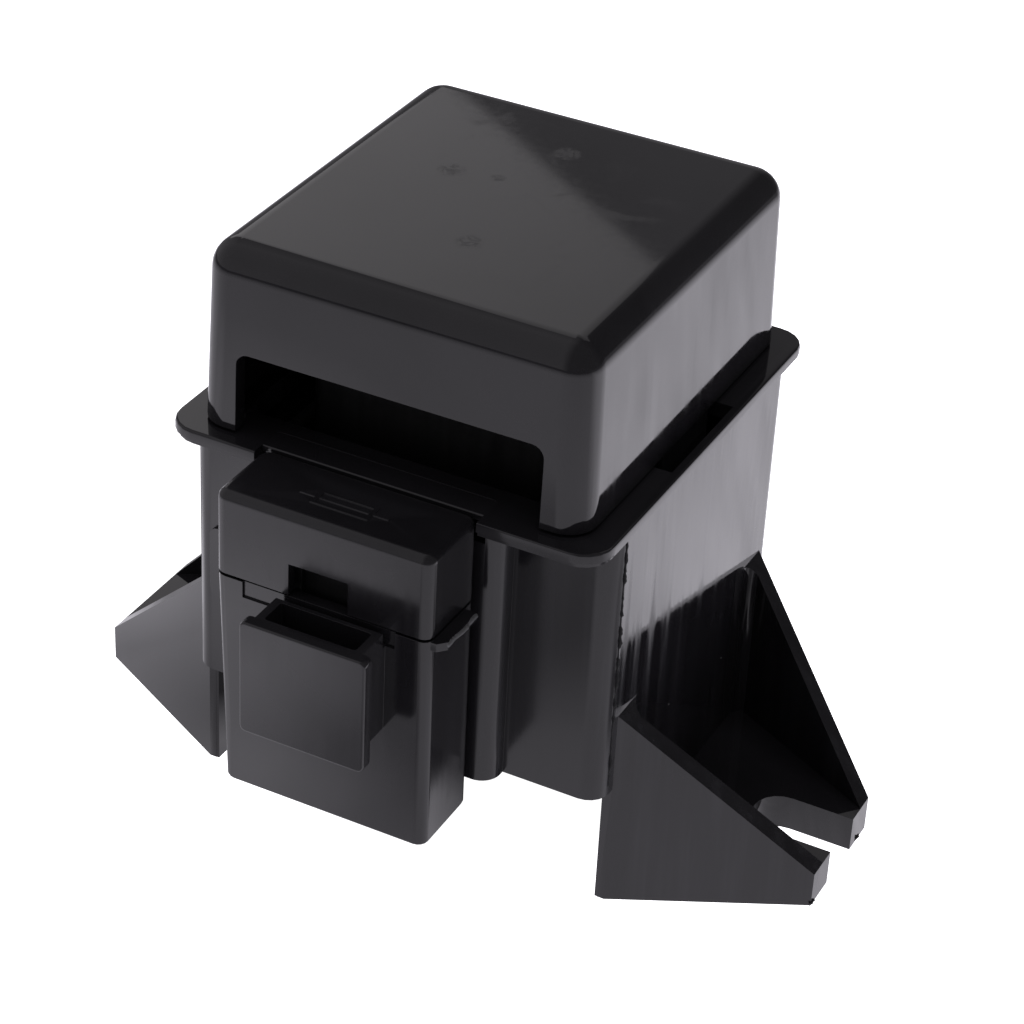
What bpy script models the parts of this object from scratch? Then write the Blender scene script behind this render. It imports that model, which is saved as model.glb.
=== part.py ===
"""Relay and fuse box panel: open housing with two slotted feet, a relay under a lift-off
cover, and a slide-on blade fuse holder on the front wall.

Frame: metres, +Z up, +X along the two feet, front of the box towards -Y.
The origin is on the mounting plane, under the centre of the overall outline.
"""
import math

import bmesh
import bpy

MM = 0.001

# The box is modelled about its own centre, then moved back so that the origin is under the
# centre of the overall outline (mm)
SHIFT_Y = 6.9

# Housing (mm)
WALL_TOP = 45.2
HOUSING_W = 48.0
HOUSING_D = 41.4
HOUSING_BOTTOM = 14.35
HOUSING_R = 2.4
WALL = 1.5
FLANGE_W = 48.6
FLANGE_FRONT = -25.5
FLANGE_BACK = 25.5
FLANGE_TOP = 46.6
FLANGE_STEP = 45.5
FLANGE_BOTTOM = 44.95
FLANGE_R = 3.4
MOUTH_X = 17.9
MOUTH_Y = 19.0
COLLAR_X = 19.3
COLLAR_Y = 20.8
COLLAR_TOP = 47.4
COLLAR_GAP_X = 17.5
NOTCH_BACK = -21.0
PILASTER_LEFT = 7.7
PILASTER_RIGHT = 13.05
PILASTER_DEPTH = 2.7
PILASTER_R = 2.2

# Feet (mm)
FOOT_REACH = 43.1
FOOT_THICK = 4.1
FOOT_ROOT_Y = 17.6
FOOT_TIP_Y = 7.5
GUSSET_TOP = 23.6
GUSSET_ROOT_IN = 15.3
GUSSET_TIP_IN = 5.2
GUSSET_FILLET = 1.5
SLOT_W = 6.3
SLOT_END = 33.0
SLOT_CLOSED = 40.4

# Relay cover (mm)
COVER_W = 43.1
COVER_D = 47.4
COVER_BOTTOM = 46.9
COVER_TOP = 66.75
COVER_WALL = 1.6
COVER_DRAFT = 1.4
COVER_R = 3.2
COVER_FILLET = 3.0
WINDOW_X = 16.85
WINDOW_TOP = 55.7
WINDOW_R = 1.3

# Fuse holder (mm)
HOLDER_X = -1.25
HOLDER_HALF = 12.0
HOLDER_DRAFT_LEFT = 0.9
HOLDER_DRAFT_RIGHT = -0.15
HOLDER_FRONT = -33.5
HOLDER_BACK = -24.1
HOLDER_BOTTOM = 12.3
HOLDER_SPLIT = 37.0
HOLDER_TOP = 46.6
HOLDER_R = 1.2
FUSE_Y = -29.0
FUSE_PITCH = 12.3

# Relay (mm)
RELAY_HALF = 14.0
RELAY_BASE_Z = 37.0
RELAY_TOP = 63.6
BLADE_W = 6.3
BLADE_T = 0.8
BLADE_TIP = 26.5
HINGE = (7.0, 0.0, 59.5)
# pin number: x, y, turned by 90 degrees
PINS = {
    "30": (0.0, -8.0, False),
    "85": (8.4, 0.0, True),
    "86": (-8.4, 0.0, True),
    "87": (0.0, 8.0, False),
    "87a": (0.0, 0.0, False),
}

for old in list(bpy.data.objects):
    bpy.data.objects.remove(old, do_unlink=True)

PARTS = bpy.data.collections.new("relay_fuse_box")
CUTTERS = bpy.data.collections.new("cutters")
bpy.context.scene.collection.children.link(PARTS)
bpy.context.scene.collection.children.link(CUTTERS)


def material(name, colour, roughness, metallic=0.0):
    """A Principled material with one colour."""
    mat = bpy.data.materials.new(name)
    mat.use_nodes = True
    shader = mat.node_tree.nodes["Principled BSDF"]
    shader.inputs["Base Color"].default_value = (*colour, 1.0)
    shader.inputs["Roughness"].default_value = roughness
    shader.inputs["Metallic"].default_value = metallic
    return mat


HOUSING_BLACK = material("housing_black", (0.014, 0.014, 0.016), 0.28)
COVER_BLACK = material("cover_black", (0.016, 0.015, 0.017), 0.24)
HOLDER_BLACK = material("holder_black", (0.014, 0.014, 0.015), 0.3)
CAP_BLACK = material("cap_black", (0.016, 0.016, 0.018), 0.27)
SOCKET_BLACK = material("socket_black", (0.02, 0.02, 0.022), 0.5)
RELAY_BLACK = material("relay_black", (0.018, 0.018, 0.02), 0.35)
FUSE_BLACK = material("fuse_black", (0.03, 0.028, 0.03), 0.3)
BOBBIN_WHITE = material("bobbin_white", (0.7, 0.68, 0.62), 0.5)
COPPER = material("copper", (0.72, 0.32, 0.16), 0.35, 1.0)
STEEL = material("steel", (0.55, 0.56, 0.58), 0.35, 1.0)
TIN = material("tinned_brass", (0.72, 0.72, 0.7), 0.3, 1.0)
ZINC = material("zinc", (0.6, 0.61, 0.63), 0.4, 1.0)


def add(name, bm, mat=None):
    """Put a bmesh into an object: a part when it has a material, otherwise a cutter."""
    mesh = bpy.data.meshes.new(name)
    bmesh.ops.recalc_face_normals(bm, faces=bm.faces)
    if bm.calc_volume(signed=True) < 0:
        bmesh.ops.reverse_faces(bm, faces=bm.faces)
    bm.to_mesh(mesh)
    bm.free()
    obj = bpy.data.objects.new(name, mesh)
    if mat is None:
        CUTTERS.objects.link(obj)
        obj.hide_render = True
        obj.display_type = "WIRE"
        return obj
    mesh.materials.append(mat)
    mesh.shade_smooth()
    mesh.set_sharp_from_angle(angle=math.radians(32))
    PARTS.objects.link(obj)
    return obj


def cube(lo, hi, taper=0.0, taper_y=None):
    """A box between two corners; the top is drawn in by a taper on each side."""
    bm = bmesh.new()
    bmesh.ops.create_cube(bm, size=1.0)
    ty = taper if taper_y is None else taper_y
    mid = [(lo[i] + hi[i]) / 2 for i in range(3)]
    for v in bm.verts:
        top = v.co.z > 0
        half_x = (hi[0] - lo[0]) / 2 - (taper if top else 0.0)
        half_y = (hi[1] - lo[1]) / 2 - (ty if top else 0.0)
        v.co.x = (mid[0] + math.copysign(half_x, v.co.x)) * MM
        v.co.y = (mid[1] + math.copysign(half_y, v.co.y)) * MM
        v.co.z = (hi[2] if top else lo[2]) * MM
    return bm


def upright(edge):
    """True for an edge that stands up between the bottom and the top."""
    a, b = edge.verts
    return abs(a.co.z - b.co.z) > 0.8 * edge.calc_length()


def round_edges(bm, edges, radius, segments):
    """Round a set of edges."""
    bmesh.ops.bevel(bm, geom=list(edges), offset=radius * MM, offset_type="OFFSET",
                    segments=segments, profile=0.5, affect="EDGES", clamp_overlap=True)


def rounded(lo, hi, radius, segments=5, taper=0.0, top=0.0, bottom=0.0, top_segments=2):
    """A box with rounded upright corners, and rounded rims if asked."""
    bm = cube(lo, hi, taper)
    round_edges(bm, [e for e in bm.edges if upright(e)], radius, segments)
    for level, size in ((hi[2], top), (lo[2], bottom)):
        if size > 0:
            rim = [e for e in bm.edges if all(abs(v.co.z - level * MM) < 1e-7 for v in e.verts)]
            round_edges(bm, rim, size, top_segments)
    return bm


def combine(target, tool, operation):
    """Boolean a tool object into a part."""
    mod = target.modifiers.new(tool.name, "BOOLEAN")
    mod.operation = operation
    mod.solver = "EXACT"
    mod.object = tool
    return target


def join(target, name, bm):
    return combine(target, add(name, bm), "UNION")


def cut(target, name, bm):
    return combine(target, add(name, bm), "DIFFERENCE")


def prism(outline, axis, lo, hi):
    """A flat outline in mm, extruded along X, Y or Z between lo and hi."""
    curve = bpy.data.curves.new("outline", "CURVE")
    curve.dimensions = "2D"
    curve.fill_mode = "BOTH"
    curve.extrude = (hi - lo) / 2 * MM
    spline = curve.splines.new("POLY")
    spline.points.add(len(outline) - 1)
    for point, (u, v) in zip(spline.points, outline):
        point.co = (u * MM, v * MM, 0.0, 1.0)
    spline.use_cyclic_u = True
    holder = bpy.data.objects.new("outline", curve)
    CUTTERS.objects.link(holder)
    bpy.context.view_layer.update()
    shape = holder.evaluated_get(bpy.context.evaluated_depsgraph_get())
    mesh = bpy.data.meshes.new_from_object(shape)
    bpy.data.objects.remove(holder, do_unlink=True)
    bm = bmesh.new()
    bm.from_mesh(mesh)
    bpy.data.meshes.remove(mesh)
    bmesh.ops.remove_doubles(bm, verts=bm.verts, dist=1e-6)
    middle = (lo + hi) / 2 * MM
    for v in bm.verts:
        u, w, depth = v.co
        if axis == "Y":
            v.co = (u, depth + middle, w)
        elif axis == "X":
            v.co = (depth + middle, u, w)
        else:
            v.co = (u, w, depth + middle)
    return bm


def arc(cx, cy, radius, start, end, steps):
    """Points on an arc, angles in degrees."""
    out = []
    for i in range(steps + 1):
        a = math.radians(start + (end - start) * i / steps)
        out.append((cx + radius * math.cos(a), cy + radius * math.sin(a)))
    return out


def rod(radius, lo, hi, x=0.0, y=0.0, sides=36):
    """A solid upright cylinder."""
    bm = bmesh.new()
    bmesh.ops.create_cone(bm, cap_ends=True, segments=sides, radius1=radius * MM,
                          radius2=radius * MM, depth=(hi - lo) * MM)
    bmesh.ops.translate(bm, verts=bm.verts, vec=(x * MM, y * MM, (lo + hi) / 2 * MM))
    return bm


# ---------------------------------------------------------------- housing
def housing_shell():
    half_w = HOUSING_W / 2
    half_d = HOUSING_D / 2
    body = add("housing", rounded((-half_w, -half_d, HOUSING_BOTTOM), (half_w, half_d, WALL_TOP),
                                  HOUSING_R), HOUSING_BLACK)
    inset = 0.35
    join(body, "flange_step", rounded(
        (-FLANGE_W / 2 + inset, FLANGE_FRONT + inset, FLANGE_BOTTOM),
        (FLANGE_W / 2 - inset, FLANGE_BACK - inset, FLANGE_STEP + 0.2), FLANGE_R - inset))
    join(body, "flange", rounded((-FLANGE_W / 2, FLANGE_FRONT, FLANGE_STEP),
                                 (FLANGE_W / 2, FLANGE_BACK, FLANGE_TOP), FLANGE_R, top=0.3))
    join(body, "collar", rounded((-COLLAR_X, -COLLAR_Y, FLANGE_TOP - 0.5),
                                 (COLLAR_X, COLLAR_Y, COLLAR_TOP), 1.8, top=0.3))
    return body


def foot(body, side):
    """One slotted foot with its two gussets, on the side given by the sign."""
    root = HOUSING_W / 2 - 0.8
    tag = "right" if side > 0 else "left"
    profile = [(root, 0.0), (FOOT_REACH, 0.0), (FOOT_REACH, FOOT_THICK),
               (HOUSING_W / 2, GUSSET_TOP), (root, GUSSET_TOP)]
    profile = [(side * u, v) for u, v in profile]
    wedge = add("foot_" + tag, prism(profile, "Y", -FOOT_ROOT_Y - 1, FOOT_ROOT_Y + 1))
    plan = [(root, -FOOT_ROOT_Y), (HOUSING_W / 2, -FOOT_ROOT_Y), (FOOT_REACH + 1, -FOOT_TIP_Y + 0.5),
            (FOOT_REACH + 1, FOOT_TIP_Y - 0.5), (HOUSING_W / 2, FOOT_ROOT_Y), (root, FOOT_ROOT_Y)]
    plan = [(side * u, v) for u, v in plan]
    combine(wedge, add("foot_plan_" + tag, prism(plan, "Z", -2.0, GUSSET_TOP + 2)), "INTERSECT")
    wall = HOUSING_W / 2
    f = GUSSET_FILLET
    pocket = arc(wall + f, GUSSET_ROOT_IN - f - 0.5, f, 100, 180, 4)
    pocket += arc(wall + f, -GUSSET_ROOT_IN + f + 0.5, f, 180, 260, 4)
    pocket += [(FOOT_REACH + 1, -GUSSET_TIP_IN + 0.5), (FOOT_REACH + 1, GUSSET_TIP_IN - 0.5)]
    pocket = [(side * u, v) for u, v in pocket]
    cut(wedge, "foot_pocket_" + tag, prism(pocket, "Z", FOOT_THICK, GUSSET_TOP + 2))
    r = SLOT_W / 2
    slot = arc(SLOT_END + r, 0.0, r, 90, 270, 10)
    if side > 0:
        slot += [(FOOT_REACH + 2, -r), (FOOT_REACH + 2, r)]
    else:
        slot += arc(SLOT_CLOSED - r, 0.0, r, -90, 90, 10)
    slot = [(side * u, v) for u, v in slot]
    cut(wedge, "foot_slot_" + tag, prism(slot, "Z", -2.0, FOOT_THICK + 3))
    combine(body, wedge, "UNION")
    lo = min(side * (HOUSING_W / 2 - 1.1), side * HOUSING_W / 2)
    hi = max(side * (HOUSING_W / 2 - 1.1), side * HOUSING_W / 2)
    join(body, "side_plate_" + tag, cube((lo, -FOOT_ROOT_Y + 0.05, 0.0), (hi, FOOT_ROOT_Y - 0.05, 20.0)))


def front_features(body):
    """Guide pilaster, T-rail of the fuse holder and an oblong boss."""
    wall = -HOUSING_D / 2
    join(body, "pilaster", rounded((PILASTER_LEFT, wall - PILASTER_DEPTH, HOUSING_BOTTOM),
                                   (PILASTER_RIGHT, wall + PILASTER_R, 45.1), PILASTER_R, 8))
    x = HOLDER_X
    rail = [(x - 2.6, wall + 0.7), (x - 2.6, -25.2), (x - 4.6, -25.2), (x - 4.6, -26.4),
            (x + 4.6, -26.4), (x + 4.6, -25.2), (x + 2.6, -25.2), (x + 2.6, wall + 0.7)]
    join(body, "rail", prism(rail, "Z", HOUSING_BOTTOM + 0.4, 31.0))
    boss = [(-20.6 + u, 28.55 + v) for u, v in
            arc(0, 3.15, 1.0, 180, 90, 4) + arc(5, 3.15, 1.0, 90, 0, 4)
            + arc(5, -3.15, 1.0, 0, -90, 4) + arc(0, -3.15, 1.0, 270, 180, 4)]
    join(body, "boss", prism(boss, "Y", wall - 0.45, wall + 0.6))


def housing_cuts(body):
    """Hollow the housing and open its flange."""
    in_x = HOUSING_W / 2 - WALL
    in_y = HOUSING_D / 2 - WALL
    cut(body, "hollow", rounded((-in_x, -in_y, -1.0), (in_x, in_y, FLANGE_BOTTOM), 1.2, 3))
    cut(body, "mouth", rounded((-MOUTH_X, -MOUTH_Y, 40.0), (MOUTH_X, MOUTH_Y, 50.0), 1.2, 3))
    for side in (-1, 1):
        lo, hi = sorted((side * 19.85, side * 23.3))
        cut(body, "latch_slot", cube((lo, -7.4, 43.0), (hi, 7.4, 50.0)))
    left = HOLDER_X - HOLDER_HALF - 0.35
    right = HOLDER_X + HOLDER_HALF + 0.35
    cut(body, "holder_notch", rounded((left, -28.0, 43.0), (right, NOTCH_BACK, 50.0), 0.4, 2))
    cut(body, "collar_gap", cube((-COLLAR_GAP_X, -COLLAR_Y - 1, FLANGE_TOP),
                                 (COLLAR_GAP_X, -MOUTH_Y + 1, 50.0)))


def ribs(body):
    """Four rests inside the walls that carry the relay socket."""
    for sx in (-1, 1):
        for sy in (-1, 1):
            lo_x, hi_x = sorted((sx * 20.2, sx * 22.9))
            lo_y, hi_y = sorted((sy * 9.0, sy * 11.5))
            join(body, "socket_rest", cube((lo_x, lo_y, 24.0), (hi_x, hi_y, 34.3)))


def build_housing():
    body = housing_shell()
    front_features(body)
    for side in (-1, 1):
        foot(body, side)
    housing_cuts(body)
    ribs(body)
    return body


# ---------------------------------------------------------------- relay cover
def build_cover():
    height = COVER_TOP - COVER_BOTTOM
    draft = height * math.tan(math.radians(COVER_DRAFT))
    hx = COVER_W / 2
    hy = COVER_D / 2
    body = add("relay_cover", rounded((-hx, -hy, COVER_BOTTOM), (hx, hy, COVER_TOP), COVER_R, 6,
                                      taper=draft, top=COVER_FILLET, top_segments=6), COVER_BLACK)
    w = COVER_WALL
    cut(body, "cover_hollow", rounded((-hx + w, -hy + w, COVER_BOTTOM - 8), (hx - w, hy - w, COVER_TOP - w),
                                      COVER_R - w, 4, taper=draft, top=1.4, top_segments=3))
    for side in (-1, 1):
        lo, hi = sorted((side * 20.2, side * 21.45))
        join(body, "latch_leg", rounded((lo, -5.6, 40.2), (hi, 5.6, 49.0), 0.3, 2, bottom=0.3))
    x = WINDOW_X
    r = WINDOW_R
    opening = [(-x, COVER_BOTTOM - 2)] + arc(-x + r, WINDOW_TOP - r, r, 180, 90, 5)
    opening += arc(x - r, WINDOW_TOP - r, r, 90, 0, 5) + [(x, COVER_BOTTOM - 2)]
    cut(body, "cover_window", prism(opening, "Y", -hy - 2, -hy + 4))
    return body


# ---------------------------------------------------------------- fuse holder
def holder_body():
    left = HOLDER_X - HOLDER_HALF
    right = HOLDER_X + HOLDER_HALF
    body = add("fuse_body", rounded((left, HOLDER_FRONT, HOLDER_BOTTOM), (right, HOLDER_BACK, HOLDER_SPLIT),
                                    HOLDER_R, 4, bottom=0.35), HOLDER_BLACK)
    for v in body.data.vertices:
        drop = (HOLDER_SPLIT - v.co.z / MM) / (HOLDER_SPLIT - HOLDER_BOTTOM)
        if v.co.x < HOLDER_X * MM:
            v.co.x += HOLDER_DRAFT_LEFT * drop * MM
        else:
            v.co.x -= HOLDER_DRAFT_RIGHT * drop * MM
    return body


def holder_tongue(body):
    """Front plate on an inset pedestal, and the small ledge on the right."""
    plate = rounded((-6.9, 23.95, 0.0), (7.05, 36.95, 1.4), 0.7, 3, top=0.25)
    for v in plate.verts:
        v.co = (v.co.x, -37.9 * MM - v.co.z, v.co.y)
    join(body, "tongue_foot", rounded((-5.9, -38.2, 25.4), (6.0, -33.0, 36.9), 0.3, 2))
    join(body, "tongue", plate)
    cut(body, "tongue_pocket", rounded((-5.0, -37.7, 27.2), (5.1, -34.5, 38.0), 0.3, 2))
    ledge = [(10.3, -32.9), (11.2, -32.9), (12.0, -32.0), (12.0, -26.2), (10.3, -26.2)]
    join(body, "side_ledge", prism(ledge, "Z", 36.0, HOLDER_SPLIT - 0.06))


def holder_cuts(body):
    x = HOLDER_X
    cut(body, "cap_notch", cube((-10.0, HOLDER_FRONT - 0.5, 35.2), (7.0, HOLDER_FRONT + 0.25, 38.0)))
    cut(body, "fuse_pocket", rounded((x - 9.85, -31.9, 31.6), (x + 9.85, -26.1, 38.0), 0.4, 2))
    for side in (-1, 1):
        cx = x + side * FUSE_PITCH / 2
        cut(body, "cavity", cube((cx - 3.4, -31.2, 10.0), (cx + 3.4, -27.3, 33.0)))
    slot = [(x - 2.9, -23.0), (x - 2.9, -24.9), (x - 4.9, -24.9), (x - 4.9, -26.7),
            (x + 4.9, -26.7), (x + 4.9, -24.9), (x + 2.9, -24.9), (x + 2.9, -23.0)]
    cut(body, "rail_channel", prism(slot, "Z", 10.0, 31.3))


def build_cap():
    x = HOLDER_X
    low = HOLDER_SPLIT + 0.3
    body = add("fuse_cap", rounded((x - HOLDER_HALF, HOLDER_FRONT, low),
                                   (x + HOLDER_HALF, HOLDER_BACK, HOLDER_TOP),
                                   HOLDER_R, 5, top=0.95, top_segments=4), CAP_BLACK)
    cut(body, "cap_hollow", rounded((x - 10.8, -32.3, 37.9 - 1.5), (x + 10.8, -25.2, 45.3), 0.6, 3))
    cut(body, "cap_window", cube((-4.8, HOLDER_FRONT - 1, 36.0), (1.75, -31.5, 40.85)))
    cap_symbol(body)
    return body


def cap_symbol(body):
    """Raised fuse symbol: an outlined rectangle with a line through it."""
    x = HOLDER_X + 0.2
    y = -29.4
    low = HOLDER_TOP - 0.3
    high = HOLDER_TOP + 0.12
    frame = add("symbol_frame", cube((x - 3.2, y - 1.25, low), (x + 3.2, y + 1.25, high)))
    cut(frame, "symbol_hole", cube((x - 2.75, y - 0.8, low - 1), (x + 2.75, y + 0.8, high + 1)))
    line = add("symbol_line", cube((x - 4.9, y - 0.22, low + 0.02), (x + 4.9, y + 0.22, high - 0.02)))
    combine(frame, line, "UNION")
    combine(body, frame, "UNION")


def receptacle(name, x, y, turned, half_w, half_t, blade_w, blade_t, low, crimp, top):
    """Sheet receptacle: open box that takes a blade, neck and open crimp barrel."""
    def lay(lo, hi):
        if turned:
            return (x + lo[1], y + lo[0], lo[2]), (x + hi[1], y + hi[0], hi[2])
        return (x + lo[0], y + lo[1], lo[2]), (x + hi[0], y + hi[1], hi[2])
    body = add(name, cube(*lay((-half_w, -half_t, crimp + 3), (half_w, half_t, top))), TIN)
    slot_w = blade_w / 2 + 0.2
    slot_t = blade_t / 2 + 0.2
    cut(body, name + "_mouth", cube(*lay((-slot_w, -slot_t, crimp + 4), (slot_w, slot_t, top + 1))))
    join(body, name + "_neck", cube(*lay((-0.9, -half_t, crimp - 1), (0.9, half_t - 0.6, crimp + 3.5))))
    join(body, name + "_crimp", cube(*lay((-1.6, -half_t, low), (1.6, half_t - 0.2, crimp))))
    cut(body, name + "_barrel", cube(*lay((-1.1, -half_t + 0.5, low - 1), (1.1, half_t + 1, crimp + 1.0))))
    return body


def build_fuse():
    x = HOLDER_X
    y = FUSE_Y
    case = add("fuse_case", rounded((x - 9.55, y - 2.55, 32.7), (x + 9.55, y + 2.55, 44.7), 0.8, 3,
                                    top=0.5), FUSE_BLACK)
    cut(case, "case_hollow", cube((x - 9.05, y - 0.65, 31.0), (x + 9.05, y + 0.65, 43.4)))
    for side in (-1, 1):
        cut(case, "case_waist", cube((x - 3.2, y + side * 3.1 - 1.3, 35.5), (x + 3.2, y + side * 3.1 + 1.3, 42.0)))
    c = FUSE_PITCH / 2
    outline = [(x - c - 2.6, 26.4), (x - c + 2.6, 26.4), (x - c + 2.6, 38.0),
               (x - 2.2, 38.0), (x - 1.4, 39.5)]
    outline += [(x + 1.4, 39.5), (x + 2.2, 38.0), (x + c - 2.6, 38.0), (x + c - 2.6, 26.4),
                (x + c + 2.6, 26.4), (x + c + 2.6, 42.6), (x + c - 2.6, 42.6), (x + c - 2.6, 39.6)]
    outline += [(x + 2.4, 39.6), (x + 1.6, 41.1), (x - 1.6, 41.1), (x - 2.4, 39.6),
                (x - c + 2.6, 39.6), (x - c + 2.6, 42.6), (x - c - 2.6, 42.6)]
    add("fuse_element", prism(outline, "Y", y - 0.325, y + 0.325), ZINC)


def build_holder():
    body = holder_body()
    holder_tongue(body)
    holder_cuts(body)
    build_cap()
    build_fuse()
    for name, side in (("fuse_terminal_a", -1), ("fuse_terminal_b", 1)):
        receptacle(name, HOLDER_X + side * FUSE_PITCH / 2, FUSE_Y, False, 3.05, 1.4,
                   5.2, 0.65, 13.0, 20.0, 32.2)


# ---------------------------------------------------------------- relay and socket
def pin_box(pin, half_w, half_t, lo, hi):
    x, y, turned = PINS[pin]
    if turned:
        half_w, half_t = half_t, half_w
    return cube((x - half_w, y - half_t, lo), (x + half_w, y + half_t, hi))


def build_socket():
    body = add("relay_socket", rounded((-16.0, -16.0, 20.5), (16.0, 16.0, 36.0), 1.2, 3), SOCKET_BLACK)
    join(body, "socket_deck", rounded((-22.1, -18.7, 34.6), (22.1, 18.7, 36.65), 1.0, 3))
    for pin in PINS:
        cut(body, "socket_cavity_" + pin, pin_box(pin, 4.2, 2.1, 18.0, 40.0))
    for pin, (x, y, turned) in PINS.items():
        receptacle("socket_terminal_" + pin, x, y, turned, 3.7, 1.6, BLADE_W, BLADE_T, 15.5, 22.5, 36.3)


def build_relay_shell():
    base = add("relay_base", rounded((-RELAY_HALF, -RELAY_HALF, RELAY_BASE_Z),
                                     (RELAY_HALF, RELAY_HALF, 38.4), 1.0, 3), RELAY_BLACK)
    join(base, "base_step", rounded((-12.4, -12.4, 38.0), (12.4, 12.4, 40.0), 0.6, 2))
    for pin in PINS:
        cut(base, "base_slot_" + pin, pin_box(pin, BLADE_W / 2 + 0.2, BLADE_T / 2 + 0.2, 36.0, 41.0))
    case = add("relay_case", rounded((-RELAY_HALF, -RELAY_HALF, 38.7), (RELAY_HALF, RELAY_HALF, RELAY_TOP),
                                     1.4, 4, top=0.7), RELAY_BLACK)
    cut(case, "case_inside", rounded((-12.8, -12.8, 36.0), (12.8, 12.8, RELAY_TOP - 1.2), 0.8, 2))


def build_blades():
    for pin, (x, y, turned) in PINS.items():
        blade = add("relay_blade_" + pin, pin_box(pin, BLADE_W / 2, BLADE_T / 2, BLADE_TIP, 40.4), TIN)
        bevel = blade.modifiers.new("edge", "BEVEL")
        bevel.width = 0.18 * MM
        bevel.segments = 1


def build_coil():
    x = -2.5
    bobbin = add("coil_bobbin", rod(7.4, 42.8, 44.0, x), BOBBIN_WHITE)
    join(bobbin, "bobbin_barrel", rod(4.3, 43.5, 56.8, x))
    join(bobbin, "bobbin_top", rod(7.4, 56.0, 57.2, x))
    cut(bobbin, "bobbin_bore", rod(3.2, 40.0, 60.0, x))
    winding = add("coil_winding", rod(6.9, 44.3, 55.7, x), COPPER)
    cut(winding, "winding_bore", rod(4.6, 43.0, 57.0, x))
    core = add("coil_core", rod(2.8, 40.7, 58.2, x), STEEL)
    join(core, "pole_face", rod(4.6, 57.5, 58.6, x))


def set_origin(obj, point):
    """Put an object's origin, and its cutters' frame, on a point in mm."""
    for v in obj.data.vertices:
        v.co.x -= point[0] * MM
        v.co.y -= point[1] * MM
        v.co.z -= point[2] * MM
    obj.location = (point[0] * MM, point[1] * MM, point[2] * MM)


def build_yoke():
    yoke = add("relay_yoke", cube((-8.0, -5.0, 41.0), (7.6, 5.0, 42.4)), STEEL)
    join(yoke, "yoke_leg", cube((6.2, -5.0, 41.0), (7.6, 5.0, 59.0)))
    cut(yoke, "core_seat", rod(3.1, 40.0, 44.0, -2.5))
    arm = add("relay_armature", cube((-9.5, -4.4, 59.7), (7.4, 4.4, 60.9)), STEEL)
    join(arm, "contact_rivet", rod(0.95, 59.2, 61.2, -8.5, 0.0, 20))
    set_origin(arm, HINGE)


build_housing()
build_cover()
build_holder()
build_socket()
build_relay_shell()
build_blades()
build_coil()
build_yoke()

for obj in list(PARTS.objects) + list(CUTTERS.objects):
    obj.location.y += SHIFT_Y * MM
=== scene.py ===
"""Looks of the relay and fuse box panel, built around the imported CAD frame."""

import math

import bmesh
import bpy
from mathutils import Matrix, Vector, noise


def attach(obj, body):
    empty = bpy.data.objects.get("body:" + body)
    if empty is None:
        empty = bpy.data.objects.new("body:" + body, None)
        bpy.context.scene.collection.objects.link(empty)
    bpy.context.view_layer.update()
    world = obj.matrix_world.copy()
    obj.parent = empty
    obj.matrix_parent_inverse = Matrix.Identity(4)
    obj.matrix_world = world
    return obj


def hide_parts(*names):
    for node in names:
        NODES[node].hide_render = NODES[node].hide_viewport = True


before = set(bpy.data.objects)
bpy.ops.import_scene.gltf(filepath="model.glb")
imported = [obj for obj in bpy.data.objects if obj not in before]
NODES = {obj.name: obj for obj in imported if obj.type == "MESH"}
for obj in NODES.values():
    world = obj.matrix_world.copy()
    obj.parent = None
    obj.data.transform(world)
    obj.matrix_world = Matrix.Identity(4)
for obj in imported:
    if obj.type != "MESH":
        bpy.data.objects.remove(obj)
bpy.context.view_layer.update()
MM = 0.001
UM = 0.000001
PLASTIC_IOR = 1.5
DUST_SHARE = 0.28
DUST_TONE = (0.16, 0.16, 0.17)
DUST_ROUGH = 0.5
MARK_ROUGH = 0.2
BLOOM = (1.0, 1.02, 1.12)


# ---------------------------------------------------------------- material graphs
class Nodes:
    """A node tree with short calls for the nodes that the finishes and the light share."""

    def __init__(self, tree, coordinates):
        self.tree = tree
        self.place = self.node("TexCoord").outputs[coordinates]

    def node(self, kind, **settings):
        made = self.tree.nodes.new("ShaderNode" + kind)
        for key, value in settings.items():
            setattr(made, key, value)
        return made

    def link(self, source, target):
        self.tree.links.new(source, target)

    def axes(self, vector):
        """The three components of a vector, by name."""
        made = self.node("SeparateXYZ")
        self.link(vector, made.inputs["Vector"])
        return made.outputs

    def distance(self, place):
        """How far a point of the surface is from a place, in metres."""
        made = self.node("VectorMath", operation="DISTANCE")
        self.link(self.place, made.inputs[0])
        made.inputs[1].default_value = place
        return made.outputs["Value"]

    def stretch(self, x, y, z):
        """Object coordinates scaled along each axis, in cells per metre."""
        made = self.node("Mapping")
        made.inputs["Scale"].default_value = (x, y, z)
        self.link(self.place, made.inputs["Vector"])
        return made.outputs["Vector"]

    def noise(self, scale, detail=3.0, vector=None, distortion=0.0):
        made = self.node("TexNoise")
        made.inputs["Scale"].default_value = scale
        made.inputs["Detail"].default_value = detail
        made.inputs["Distortion"].default_value = distortion
        self.link(vector or self.place, made.inputs["Vector"])
        return made.outputs["Fac"]

    def remap(self, value, low, high, to_low, to_high):
        made = self.node("MapRange")
        settings = {"From Min": low, "From Max": high, "To Min": to_low, "To Max": to_high}
        for key, number in settings.items():
            made.inputs[key].default_value = number
        self.link(value, made.inputs["Value"])
        return made.outputs["Result"]

    def math(self, operation, first, *others):
        """Chain an operation over sockets and plain numbers."""
        total = first
        for other in others:
            made = self.node("Math", operation=operation)
            for socket, value in zip(made.inputs, (total, other)):
                if isinstance(value, (int, float)):
                    socket.default_value = value
                else:
                    self.link(value, socket)
            total = made.outputs["Value"]
        return total

    def times(self, *values):
        return self.math("MULTIPLY", *values)

    def plus(self, *values):
        return self.math("ADD", *values)


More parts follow.
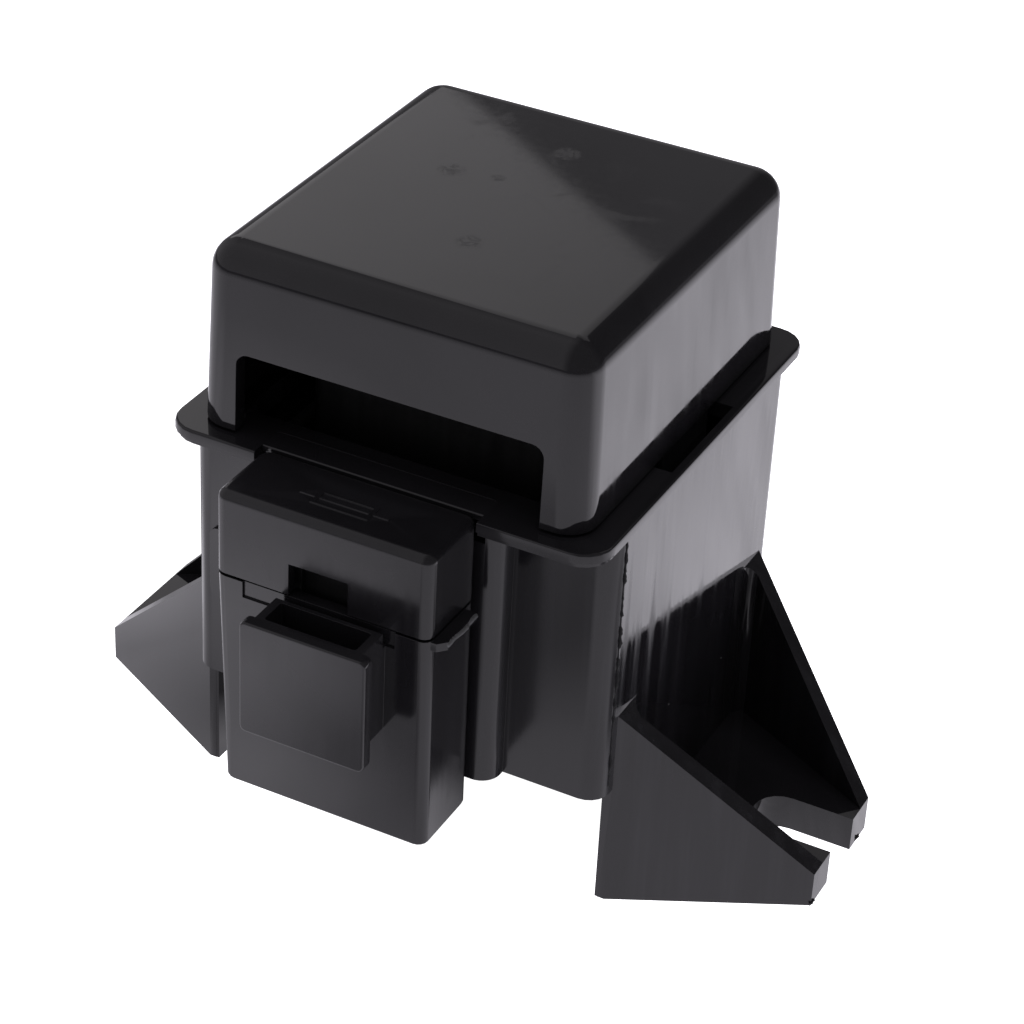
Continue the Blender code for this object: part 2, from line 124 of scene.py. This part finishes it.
class Graph(Nodes):
    """A material's node tree, with the patterns that the finishes are made of."""

    def __init__(self, name):
        self.mat = bpy.data.materials.new(name)
        self.mat.use_nodes = True
        super().__init__(self.mat.node_tree, "Object")
        self.shader = self.tree.nodes["Principled BSDF"]

    def set(self, **inputs):
        """Set the shader's inputs, whose names are written with underscores here."""
        for key, value in inputs.items():
            self.shader.inputs[key.replace("_", " ")].default_value = value

    def drive(self, **inputs):
        """Link sockets to the shader's inputs, named in the same way."""
        for key, source in inputs.items():
            self.link(source, self.shader.inputs[key.replace("_", " ")])

    def blend(self, factor, low, high):
        """Mix two colours, each a socket or a tuple of three numbers."""
        made = self.node("Mix", data_type="RGBA")
        self.link(factor, made.inputs["Factor"])
        for socket, value in ((made.inputs[6], low), (made.inputs[7], high)):
            if isinstance(value, tuple):
                socket.default_value = (*value, 1.0)
            else:
                self.link(value, socket)
        return made.outputs[2]

    def facing(self, axis):
        """How far a face is turned along an axis, either way: one when square to it."""
        normal = self.node("TexCoord").outputs["Normal"]
        return self.math("ABSOLUTE", self.axes(normal)[axis], 0.0)

    def edges(self, low=0.53, high=0.62):
        """One on worn convex edges, nothing elsewhere."""
        return self.remap(self.node("NewGeometry").outputs["Pointiness"], low, high, 0.0, 1.0)

    def specks(self, scale, size):
        """Sparse dots of dust."""
        made = self.node("TexVoronoi")
        made.inputs["Scale"].default_value = scale
        self.link(self.place, made.inputs["Vector"])
        dot = self.remap(made.outputs["Distance"], size, size * 0.6, 0.0, 1.0)
        split = self.node("SeparateColor")
        self.link(made.outputs["Color"], split.inputs["Color"])
        return self.times(dot, self.math("GREATER_THAN", split.outputs["Red"], 1.0 - DUST_SHARE))

    def marks(self, places):
        """Blotchy finger marks, each a place and a radius in metres."""
        blotch = self.remap(self.noise(900.0, 4.0, distortion=1.5), 0.38, 0.6, 0.15, 1.0)
        spots = [self.remap(self.distance(place), radius * 0.5, radius, 1.0, 0.0)
                 for place, radius in places]
        return self.times(self.plus(*spots), blotch)

    def relief(self, *heights):
        """Bump from heights in metres."""
        made = self.node("Bump")
        made.inputs["Strength"].default_value = 1.0
        made.inputs["Distance"].default_value = 1.0
        self.link(self.plus(*heights), made.inputs["Height"])
        self.drive(Normal=made.outputs["Normal"])


def shade(tone, factor, lift=0.0):
    """A colour made darker or lighter."""
    return tuple(min(1.0, c * factor + lift) for c in tone)


def pull_columns(g, streak, sides):
    """Where the mould's pull left pale, dull columns on the side walls."""
    column = g.noise(1.0, 3.0, g.stretch(420.0, 420.0, 28.0))
    broken = g.remap(streak, 0.3, 0.6, 0.3, 1.0)
    patchy = g.remap(g.noise(28.0, 2.0), 0.38, 0.6, 0.15, 1.0)
    return g.times(g.remap(column, 0.44, 0.66, 0.0, 1.0), broken, patchy, sides)


def moulded_colour(g, tone, haze, columns, dust):
    """Clouded base colour with pale columns, worn edges and dust."""
    cloud = g.remap(g.noise(45.0, 5.0, distortion=0.6), 0.3, 0.7, 0.0, 1.0)
    base = g.blend(cloud, shade(tone, 0.75), shade(tone, 1.35))
    dulled = g.blend(columns, base, tuple(c + haze * b for c, b in zip(tone, BLOOM)))
    worn = g.blend(g.times(g.edges(0.56, 0.68), 0.4), dulled, shade(tone, 1.7, 0.002))
    return g.blend(dust, worn, DUST_TONE)


def moulded(name, tone, rough, wave=8.0, drag=2.0, grain=0.12, smudge=0.05, haze=0.0, calm=0.35,
            scuff=0.0, front=0.0, marks=()):
    """Glossy moulded plastic. Relief heights are in micrometres, tone is the base colour.

    Haze is the paleness and scuff the roughness of the columns that the mould's pull leaves on
    the side walls, front is the extra roughness of the front and back faces, and calm is the
    share of the waves and drag marks that is left on level faces.
    """
    g = Graph(name)
    g.set(IOR=PLASTIC_IOR)
    walls = g.remap(g.facing("Z"), 0.2, 0.9, 1.0, calm)
    sides = g.remap(g.facing("X"), 0.3, 0.9, 0.12, 1.0)
    streak = g.noise(1.0, 4.0, g.stretch(1100.0, 1100.0, 45.0))
    fine_streak = g.noise(1.0, 2.0, g.stretch(3800.0, 3800.0, 70.0))
    columns = g.times(pull_columns(g, streak, sides), walls)
    dust = g.specks(240.0, 0.022)
    g.drive(Base_Color=moulded_colour(g, tone, haze, columns, dust))

    film = [g.remap(streak, 0.3, 0.75, rough * 0.75, rough * 1.35),
            g.times(columns, scuff),
            g.remap(g.facing("Y"), 0.6, 0.95, 0.0, front),
            g.remap(g.noise(150.0, 2.0, distortion=1.2), 0.58, 0.72, 0.0, smudge),
            g.times(dust, DUST_ROUGH)]
    if marks:
        film.append(g.times(g.marks(marks), MARK_ROUGH))
    g.drive(Roughness=g.plus(*film))

    g.relief(g.times(g.remap(g.noise(95.0, 1.5), 0.0, 1.0, 0.0, wave * UM), walls),
             g.times(g.remap(streak, 0.0, 1.0, 0.0, drag * UM), walls, sides),
             g.remap(fine_streak, 0.0, 1.0, 0.0, 0.12 * drag * UM),
             g.remap(g.noise(9000.0, 3.0), 0.0, 1.0, 0.0, grain * UM))
    return g.mat


def matt(name, tone, rough, grain=3.0):
    """Glass-filled or textured plastic with a fine grain and rubbed edges."""
    g = Graph(name)
    g.set(IOR=PLASTIC_IOR)
    cloud = g.remap(g.noise(60.0, 5.0, distortion=0.4), 0.3, 0.7, 0.0, 1.0)
    fibres = g.noise(1.0, 3.0, g.stretch(1500.0, 400.0, 1500.0))
    base = g.blend(cloud, shade(tone, 0.8), shade(tone, 1.25))
    rubbed = g.blend(g.times(g.edges(), 0.6), base, shade(tone, 1.6, 0.01))
    g.drive(Base_Color=rubbed, Roughness=g.remap(fibres, 0.3, 0.7, rough * 0.85, rough * 1.15))
    g.relief(g.remap(g.noise(2600.0, 4.0), 0.0, 1.0, 0.0, grain * UM),
             g.remap(fibres, 0.0, 1.0, 0.0, 0.5 * grain * UM))
    return g.mat


def plated(name, tone, rough, brush=(3000.0, 3000.0, 120.0), tarnish=0.75):
    """Stamped and plated metal: drawn lines, dull patches, bright edges."""
    g = Graph(name)
    g.set(Metallic=1.0)
    cloud = g.noise(260.0, 5.0, distortion=0.8)
    lines = g.noise(1.0, 3.0, g.stretch(*brush))
    base = g.blend(g.remap(cloud, 0.35, 0.72, 0.0, 1.0), tone, shade(tone, tarnish))
    rubbed = g.plus(g.remap(lines, 0.3, 0.7, rough * 0.7, rough * 1.2),
                    g.remap(cloud, 0.45, 0.75, 0.0, 0.12))
    g.drive(Base_Color=g.blend(g.edges(), base, shade(tone, 1.15)), Roughness=rubbed)
    g.relief(g.remap(lines, 0.0, 1.0, 0.0, 0.6 * UM),
             g.remap(g.noise(1800.0, 3.0), 0.0, 1.0, 0.0, 0.48 * UM))
    return g.mat


BLACK = (0.0135, 0.0128, 0.0148)
COVER_TOP = 66.75
# x, y and radius of the finger marks on the cover's top, in millimetres
FINGERS = ((1.0, -2.6, 1.9), (0.4, 19.9, 1.6), (-7.9, 10.2, 1.8), (-3.1, 11.1, 1.0))
COVER_MARKS = [((x * MM, y * MM, COVER_TOP * MM), radius * MM) for x, y, radius in FINGERS]
FINISH = {
    "housing_black": moulded("housing_black", BLACK, 0.038, wave=9.0, drag=5.0, smudge=0.03,
                             haze=0.042, scuff=0.3, front=0.11),
    "cover_black": moulded("cover_black", BLACK, 0.045, wave=9.0, drag=1.2, haze=0.006, calm=0.3,
                           scuff=0.16, marks=COVER_MARKS),
    "holder_black": moulded("holder_black", BLACK, 0.13, wave=7.0, drag=1.6, grain=0.3, haze=0.012),
    "cap_black": moulded("cap_black", BLACK, 0.19, wave=6.0, drag=1.0, grain=0.3, haze=0.004),
    "socket_black": matt("socket_black", (0.016, 0.016, 0.017), 0.42),
    "relay_black": moulded("relay_black", (0.013, 0.013, 0.0135), 0.4, wave=6.0, drag=0.8, grain=0.5),
    "relay_base_black": matt("relay_base_black", (0.015, 0.015, 0.016), 0.45),
    # darker than the housing's plastic: the corner flash's tone is painted shade along the right
    # corners
    "flash_painted_shade": matt("flash_painted_shade", (0.008, 0.008, 0.009), 0.75, 6.0),
    # light grey finish of the ledge bead: a painted highlight along its torn edge
    "bead_painted_highlight": matt("bead_painted_highlight", (0.09, 0.09, 0.095), 0.45, 5.0),
    "fuse_black": matt("fuse_black", (0.007, 0.007, 0.008), 0.6, 2.0),
    "bobbin_white": matt("bobbin_white", (0.66, 0.63, 0.56), 0.45, 2.0),
    "copper": plated("copper", (0.72, 0.30, 0.14), 0.22, (300.0, 300.0, 5200.0), 0.7),
    "core_steel": plated("core_steel", (0.52, 0.52, 0.53), 0.34),
    "yoke_steel": plated("yoke_steel", (0.55, 0.55, 0.56), 0.3),
    "armature_steel": plated("armature_steel", (0.56, 0.56, 0.57), 0.27, (120.0, 3000.0, 3000.0)),
    "zinc": plated("zinc", (0.58, 0.59, 0.61), 0.36),
    "blade_tin": plated("blade_tin", (0.70, 0.69, 0.66), 0.26),
    "tinned_brass": plated("tinned_brass", (0.69, 0.66, 0.58), 0.3),
}


# ---------------------------------------------------------------- pieces
# millimetres and degrees
EDGE_SEGMENTS = 3
EDGE_ANGLE = 32.0
SAME_POINT = 0.002
SAME_PLANE = 1.0


def settle(obj, slot, body):
    """Give a piece its finish and the body that it moves with."""
    obj.data.materials.clear()
    obj.data.materials.append(FINISH[slot])
    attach(obj, body)


def from_bmesh(name, bm):
    """A new object in the scene from a bmesh, which is used up."""
    mesh = bpy.data.meshes.new(name)
    bm.to_mesh(mesh)
    bm.free()
    obj = bpy.data.objects.new(name, mesh)
    bpy.context.scene.collection.objects.link(obj)
    return obj


def soften(obj, width):
    """Round every crisp edge by a small radius and blend it into the flat faces."""
    for poly in obj.data.polygons:
        poly.use_smooth = True
    bevel = obj.modifiers.new("edge_radius", "BEVEL")
    bevel.width = width * MM
    bevel.segments = EDGE_SEGMENTS
    bevel.limit_method = "ANGLE"
    bevel.angle_limit = math.radians(EDGE_ANGLE)
    bevel.miter_outer = "MITER_ARC"
    weight = obj.modifiers.new("flat_faces", "WEIGHTED_NORMAL")
    weight.mode = "FACE_AREA"
    weight.weight = 100


def moulding(node, slot, body, width):
    """The fine version of a CAD solid: flat faces made whole and every edge given its radius."""
    bm = bmesh.new()
    bm.from_mesh(NODES[node].data)
    bmesh.ops.remove_doubles(bm, verts=bm.verts, dist=SAME_POINT * MM)
    bmesh.ops.dissolve_limit(bm, angle_limit=math.radians(SAME_PLANE), verts=bm.verts, edges=bm.edges)
    obj = from_bmesh(node + "_moulding", bm)
    soften(obj, width)
    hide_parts(node)
    settle(obj, slot, body)


moulding("housing", "housing_black", "box", 0.25)
moulding("relay_cover", "cover_black", "cover", 0.3)
moulding("fuse_body", "holder_black", "holder", 0.2)
moulding("fuse_cap", "cap_black", "cap", 0.2)
moulding("relay_socket", "socket_black", "box", 0.25)
moulding("relay_case", "relay_black", "relay", 0.2)
moulding("relay_base", "relay_base_black", "relay", 0.2)
moulding("fuse_case", "fuse_black", "fuse", 0.25)

# the box's own measures, in millimetres, where the visual extras sit
HOUSING_X = 24.0
HOUSING_FRONT = -13.8
HOUSING_BACK = 27.6
CORNER_R = 2.4
LEDGE_X = 12.0
LEDGE_FRONT = -25.2
LEDGE_LENGTH = 5.9
LEDGE_Z = 36.62
FOOT_TIP_X = 43.1
FOOT_TIPS_Y = (("near", -0.35), ("far", 12.1))
SILL_LOW = Vector((-13.9, -17.05, 45.75))
SILL_HIGH = Vector((11.4, -13.6, 46.56))
# the extras' sections, in millimetres
SUNK = 0.12
LEAST = 0.04
FLASH_THICK = 0.16
FLASH_TAPER = 2.0
BEAD_THICK = 0.55
BEAD_WAVE = 0.1
NIB_Z = 0.34
NIB_LENGTH = 1.1
NIB_THICK = 0.36
SILL_EDGE = 0.2


def ridge(name, path, out, heights, thick, slot, body, finish=None):
    """A thin raised line along a path: a swept five-sided section, sunk a little into its surface."""
    bm = bmesh.new()
    rings = []
    for i, (point, height) in enumerate(zip(path, heights)):
        ahead = path[min(i + 1, len(path) - 1)] - path[max(i - 1, 0)]
        side = ahead.cross(out).normalized() * thick / 2
        section = ((-1, -SUNK), (-0.8, 0.55 * height), (0, height), (0.8, 0.55 * height), (1, -SUNK))
        rings.append([bm.verts.new((point + side * u + out * v) * MM) for u, v in section])
    for a, b in zip(rings, rings[1:]):
        for k in range(5):
            bm.faces.new((a[k], a[(k + 1) % 5], b[(k + 1) % 5], b[k]))
    bm.faces.new(rings[0])
    bm.faces.new(list(reversed(rings[-1])))
    bmesh.ops.recalc_face_normals(bm, faces=bm.faces)
    obj = from_bmesh(name, bm)
    for poly in obj.data.polygons:
        poly.use_smooth = True
    settle(obj, slot, body)
    if finish:
        obj.data.materials[0] = FINISH[finish]


def ragged(position, scale, seed):
    """Uneven value between nothing and one along a torn edge."""
    coarse = noise.noise(Vector((position * scale, seed, 0.0)))
    fine = noise.noise(Vector((position * scale * 3.1, seed + 5.0, 0.0)))
    return min(1.0, max(0.0, 0.45 + coarse + 0.5 * fine))


def steps(count):
    """Even steps from nothing to one."""
    return [i / count for i in range(count + 1)]


def corner_flash():
    """Torn moulding flash down the two right corners of the housing."""
    # name, angle from the X axis, y of the corner's axis, ends and height of the flash
    corners = (("near", -9.0, HOUSING_FRONT + CORNER_R, 15.4, 45.2, 0.34),
               ("far", 52.0, HOUSING_BACK - CORNER_R, 24.6, 37.5, 0.3))
    for name, angle, y, low, high, tall in corners:
        turn = math.radians(angle)
        out = Vector((math.cos(turn), math.sin(turn), 0.0))
        base = Vector((HOUSING_X - CORNER_R, y, 0.0)) + out * CORNER_R
        levels = [low + (high - low) * t for t in steps(110)]
        ends = [max(0.0, min(1.0, (z - low) * FLASH_TAPER, (high - z) * FLASH_TAPER)) for z in levels]
        heights = [LEAST + tall * end * ragged(z, 0.9, y) ** 1.5 for z, end in zip(levels, ends)]
        path = [base + Vector((0.0, 0.0, z)) for z in levels]
        # the flash's darker finish paints the shade that lines these corners
        ridge(name + "_corner_flash", path, out, heights, FLASH_THICK, "housing_black", "box",
              "flash_painted_shade")


def ledge_bead():
    """The torn gate mark that runs along the outer edge of the holder's side ledge."""
    path = []
    heights = []
    for t in steps(60):
        z = LEDGE_Z + BEAD_WAVE * math.sin(9.0 * t)
        path.append(Vector((LEDGE_X, LEDGE_FRONT + LEDGE_LENGTH * t, z)))
        heights.append(0.12 + 0.42 * ragged(6.0 * t, 1.3, 3.0) * math.sin(math.pi * t) ** 0.4)
    out = Vector((0.8, 0.0, 0.6))
    # the bead's light grey finish is a painted highlight along the ledge's outer edge
    ridge("ledge_bead", path, out, heights, BEAD_THICK, "holder_black", "holder", "bead_painted_highlight")


def foot_nibs():
    """Torn gate points at the lower edge of the right foot's two tips."""
    out = Vector((0.94, 0.0, 0.34))
    for name, y in FOOT_TIPS_Y:
        path = [Vector((FOOT_TIP_X, y + NIB_LENGTH * (t - 0.5), NIB_Z)) for t in steps(16)]
        heights = [LEAST + 0.34 * math.sin(math.pi * t) * ragged(8.0 * t, 1.5, y) for t in steps(16)]
        ridge(name + "_foot_nib", path, out, heights, NIB_THICK, "housing_black", "box")


def flange_sill():
    """The thin sill that closes the flange between the fuse cap and the wall behind it."""
    bm = bmesh.new()
    bmesh.ops.create_cube(bm, size=1.0)
    size = SILL_HIGH - SILL_LOW
    for v in bm.verts:
        v.co = Vector((SILL_LOW[i] + (v.co[i] + 0.5) * size[i] for i in range(3))) * MM
    obj = from_bmesh("flange_sill", bm)
    soften(obj, SILL_EDGE)
    settle(obj, "housing_black", "box")


corner_flash()
ledge_bead()
foot_nibs()
flange_sill()

CARRIED = {
    "coil_bobbin": "bobbin_white",
    "coil_winding": "copper",
    "coil_core": "core_steel",
    "relay_yoke": "yoke_steel",
    "relay_armature": "armature_steel",
    "fuse_element": "zinc",
    "fuse_terminal_a": "tinned_brass",
    "fuse_terminal_b": "tinned_brass",
}
for pin in ("30", "85", "86", "87", "87a"):
    CARRIED["relay_blade_" + pin] = "blade_tin"
    CARRIED["socket_terminal_" + pin] = "tinned_brass"
for name, slot in CARRIED.items():
    for holder in NODES[name].material_slots:
        holder.material = FINISH[slot]


# ---------------------------------------------------------------- studio, in metres
CARD_TINT = (1.0, 0.97, 1.05)
CARD_SIZE = 2.0
CARD_Z = -0.0001
# brightness of the card in front of the box and behind it, then the share left far from the box
CARD_LEVELS = (0.85, 1.48)
CARD_FAR = 0.15
# place, inner radius, outer radius, level: spots on the card, dimmer or brighter than the rest
SHADES = (
    ((-0.005, -0.062), 0.008, 0.026, 0.4),
    ((-0.03, -0.058), 0.012, 0.03, 1.75),
    ((-0.075, -0.075), 0.022, 0.045, 1.35),
    ((-0.032, -0.016), 0.004, 0.016, 0.6),
    ((-0.013, -0.043), 0.005, 0.013, 1.35),
    ((-0.055, 0.03), 0.014, 0.028, 0.3),
    ((-0.063, 0.0), 0.006, 0.018, 1.8),
    ((-0.013, -0.09), 0.006, 0.018, 0.65),
    ((0.0215, 0.003), 0.002, 0.007, 0.35),
    ((0.0, 0.007), 0.018, 0.026, 0.1),
    ((0.058, 0.004), 0.006, 0.014, 0.3),
    ((0.062, 0.034), 0.006, 0.011, 0.25),
    ((0.07, 0.012), 0.012, 0.024, 0.5),
)
# the creases run upright in the wall's mirror image: this is their slant on the card
CREASE_ACROSS = (1.4, -0.68)
CREASE_ALONG = (0.68, 1.4)
CREASE_CELLS = (520.0, 16.0)
CREASE_DEPTH = (-0.16, 0.06)
# the ends of the strip's lower edge, and the place that it faces
STRIP_LEFT = (-0.301, 0.593, 0.362)
STRIP_RIGHT = (-0.209, 0.569, 0.3995)
STRIP_FACES = (0.0, 0.007, 0.067)
STRIP_HEIGHT = 0.2
STRIP_LEVELS = (0.8, 0.36)
STRIP_TINT = (1.0, 0.97, 1.0)
LAMP_PLACE = (0.2, -0.05, 0.7)
LAMP_TARGET = (0.0, 0.0, 0.05)
LAMP_SIZE = 0.5
LAMP_WATTS = 0.9
ROOM_TINT = (0.98, 0.95, 1.0)
BLACK_CARD = (0.0, 0.0, 0.0)
TABLE_SIZE = 6.0
TABLE_Z = -0.0002
TABLE_WHITE = (0.88, 0.88, 0.88)
TABLE_GLOW = (1.05, 1.15)


def room():
    """A dark room, lighter on the left and in front, and again straight behind the box."""
    world = bpy.data.worlds.new("room")
    bpy.context.scene.world = world
    world.use_nodes = True
    g = Nodes(world.node_tree, "Generated")
    direction = g.axes(g.place)
    left = g.remap(direction["X"], -0.35, 0.05, 0.42, 0.14)
    front = g.remap(direction["Y"], 0.2, 0.7, 1.0, 0.4)
    behind = g.remap(direction["Y"], 0.8, 0.86, 0.0, 0.3)
    background = world.node_tree.nodes["Background"]
    background.inputs["Color"].default_value = (*ROOM_TINT, 1.0)
    g.link(g.times(left, g.plus(front, behind)), background.inputs["Strength"])


def soft_box():
    """A faint lamp above, left out of the mirror images."""
    data = bpy.data.lights.new("soft_box", "AREA")
    data.shape = "DISK"
    data.size = LAMP_SIZE
    data.energy = LAMP_WATTS
    lamp = bpy.data.objects.new("soft_box", data)
    bpy.context.scene.collection.objects.link(lamp)
    lamp.location = LAMP_PLACE
    lamp.rotation_euler = (Vector(LAMP_TARGET) - lamp.location).to_track_quat("-Z", "Y").to_euler()
    lamp.visible_camera = False
    lamp.visible_glossy = False


def card(name, width, height, low_edge):
    """A flat card in its own XY plane, from its low edge up and centred across."""
    bm = bmesh.new()
    bmesh.ops.create_grid(bm, x_segments=2, y_segments=2, size=0.5)
    for v in bm.verts:
        v.co.x *= width
        v.co.y = low_edge + (v.co.y + 0.5) * height
    obj = from_bmesh(name, bm)
    return obj


def light_up(obj, tint, level):
    """Make a card shine by a level that varies over it, and hide it from the camera."""
    g = Graph(obj.name + "_glow")
    g.set(Base_Color=(*BLACK_CARD, 1.0), Specular_IOR_Level=0.0, Emission_Color=(*tint, 1.0))
    g.drive(Emission_Strength=level(g))
    obj.data.materials.append(g.mat)
    obj.visible_camera = False


def strip():
    """A long lit card behind the box, its lower edge tilted, brighter towards the left."""
    left = Vector(STRIP_LEFT)
    along = (Vector(STRIP_RIGHT) - left).normalized()
    up = along.cross((Vector(STRIP_FACES) - left).normalized())
    if up.z < 0:
        up = -up
    obj = card("strip", 1.0, STRIP_HEIGHT, 0.0)
    turn = Matrix((along, up, along.cross(up))).transposed().to_4x4()
    obj.matrix_world = Matrix.Translation(left) @ turn
    light_up(obj, STRIP_TINT, lambda g: g.remap(g.axes(g.place)["X"], -0.05, 0.2, *STRIP_LEVELS))


def folds(g, x, y):
    """Faint creases in the card behind the box, which the side walls mirror upright."""
    made = g.node("CombineXYZ")
    for axis, (u, v), cells in zip("XY", (CREASE_ACROSS, CREASE_ALONG), CREASE_CELLS):
        g.link(g.times(g.plus(g.times(x, u), g.times(y, v)), cells), made.inputs[axis])
    crease = g.remap(g.noise(1.0, 3.0, made.outputs["Vector"]), 0.34, 0.62, *CREASE_DEPTH)
    behind = g.remap(y, -0.004, 0.014, 0.0, 1.0)
    return g.plus(g.times(crease, behind), 1.0)


def card_level(g):
    """How bright each place of the reflector is."""
    axes = g.axes(g.place)
    x, y = axes["X"], axes["Y"]
    depth = g.plus(y, g.times(x, 0.3))
    total = g.times(g.remap(depth, 0.015, 0.06, *CARD_LEVELS),
                    g.remap(g.distance((0.0, 0.0, 0.0)), 0.14, 0.42, 1.0, CARD_FAR))
    for place, inner, outer, level in SHADES:
        total = g.times(total, g.remap(g.distance((*place, 0.0)), inner, outer, level, 1.0))
    return g.times(total, folds(g, x, y))


def reflector():
    """A card lying on the table that the walls mirror: pale behind the box, dimmer in front."""
    obj = card("reflector", CARD_SIZE, CARD_SIZE, -CARD_SIZE / 2)
    obj.location.z = CARD_Z
    light_up(obj, CARD_TINT, card_level)


def table():
    """A plain white table, left out of the mirror images, where the card takes its place."""
    obj = card("table", TABLE_SIZE, TABLE_SIZE, -TABLE_SIZE / 2)
    obj.location.z = TABLE_Z
    obj.visible_glossy = False
    g = Graph("table_white")
    g.set(Base_Color=(*TABLE_WHITE, 1.0), Roughness=0.9, Emission_Color=(1.0, 1.0, 1.0, 1.0))
    g.drive(Emission_Strength=g.remap(g.noise(3.0), 0.0, 1.0, *TABLE_GLOW))
    obj.data.materials.append(g.mat)


def camera():
    """Long lens from the right front, 33 degrees above the table."""
    azimuth = math.radians(25.75)
    elevation = math.radians(32.66)
    roll = math.radians(3.12)
    distance = 0.3262
    target = Vector((0.00105, 0.01, 0.02873))
    flat = math.cos(elevation)
    back = Vector((math.sin(azimuth) * flat, -math.cos(azimuth) * flat, math.sin(elevation)))
    level = Vector((math.cos(azimuth), math.sin(azimuth), 0.0))
    upward = back.cross(level)
    right = level * math.cos(roll) + upward * math.sin(roll)
    up = upward * math.cos(roll) - level * math.sin(roll)
    data = bpy.data.cameras.new("camera")
    data.lens = 107.5
    data.sensor_width = 36.0
    data.clip_start = 0.01
    obj = bpy.data.objects.new("camera", data)
    bpy.context.scene.collection.objects.link(obj)
    turn = Matrix((right, up, back)).transposed().to_4x4()
    obj.matrix_world = Matrix.Translation(target + back * distance) @ turn
    bpy.context.scene.camera = obj


bpy.context.scene.view_settings.view_transform = "Standard"
room()
strip()
reflector()
soft_box()
table()
camera()
